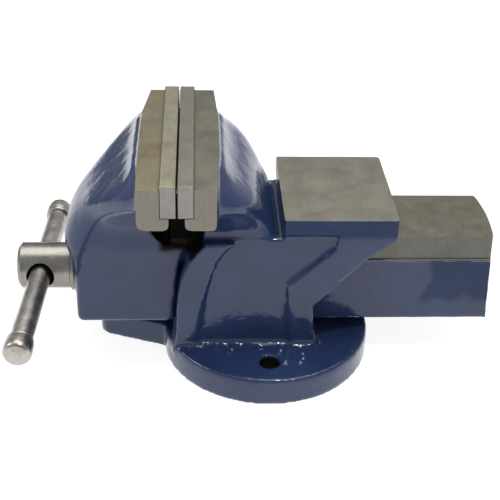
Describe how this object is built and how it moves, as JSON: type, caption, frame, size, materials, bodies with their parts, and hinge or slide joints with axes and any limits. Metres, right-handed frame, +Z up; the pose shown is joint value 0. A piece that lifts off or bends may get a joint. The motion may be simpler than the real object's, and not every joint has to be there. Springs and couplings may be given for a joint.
{
  "type": "bench vise",
  "caption": "Engineer's bench vise with a fixed flanged base, an anvil, a sliding front jaw on a hollow bar, and a screw turned by a tommy bar.",
  "frame": {"origin": "midway between the two side bolt holes, on the underside of the base", "axes": "+X from the spindle handle towards the back of the slide bar, +Y across the jaws to the far side, +Z up"},
  "size_m": [0.3272, 0.1912, 0.1569],
  "materials": {
    "blue_enamel": "glossy enamel on cast iron, machined bare on the jaw, anvil and slide tops",
    "ground_steel": "ground, serrated on the gripping face",
    "turned_steel": "turned",
    "handle_steel": "drawn bar, lightly worn",
    "black_steel": "black oxide",
    "raw_iron": "as cast, greased"
  },
  "bodies": {
    "vise_body": {"fixed_jaw_body": "blue_enamel", "fixed_jaw_plate": "ground_steel", "fixed_plate_screw_near": "black_steel", "fixed_plate_screw_far": "black_steel", "spindle_nut": "raw_iron", "nut_bolt": "black_steel", "nut_bolt_washer": "turned_steel"},
    "moving_jaw": {"moving_jaw_body": "blue_enamel", "moving_jaw_plate": "ground_steel", "moving_plate_screw_near": "black_steel", "moving_plate_screw_far": "black_steel", "thrust_washer": "turned_steel", "return_spring": "black_steel"},
    "screw_assembly": {"spindle": "turned_steel", "retaining_collar": "turned_steel", "split_pin": "turned_steel"},
    "handle_assembly": {"tommy_bar": "handle_steel", "near_handle_knob": "handle_steel", "far_handle_knob": "handle_steel"}
  },
  "joints": [
    {"name": "jaw_slide", "type": "slide", "parent": "vise_body", "child": "moving_jaw", "axis": [-1, 0, 0], "range_m": [0, 0.125]},
    {"name": "spindle_turn", "type": "hinge", "parent": "moving_jaw", "child": "screw_assembly", "pos_m": [-0.1554, 0, 0.0538], "axis": [-1, 0, 0], "range_deg": [0, 8964]},
    {"name": "tommy_bar_slide", "type": "slide", "parent": "screw_assembly", "child": "handle_assembly", "axis": [0.0384, 0.9993, 0], "range_m": [-0.048, 0.071]}
  ],
  "couplings": [
    {"joint": "jaw_slide", "follows": "spindle_turn", "m_per_rad": 0.00079577}
  ]
}
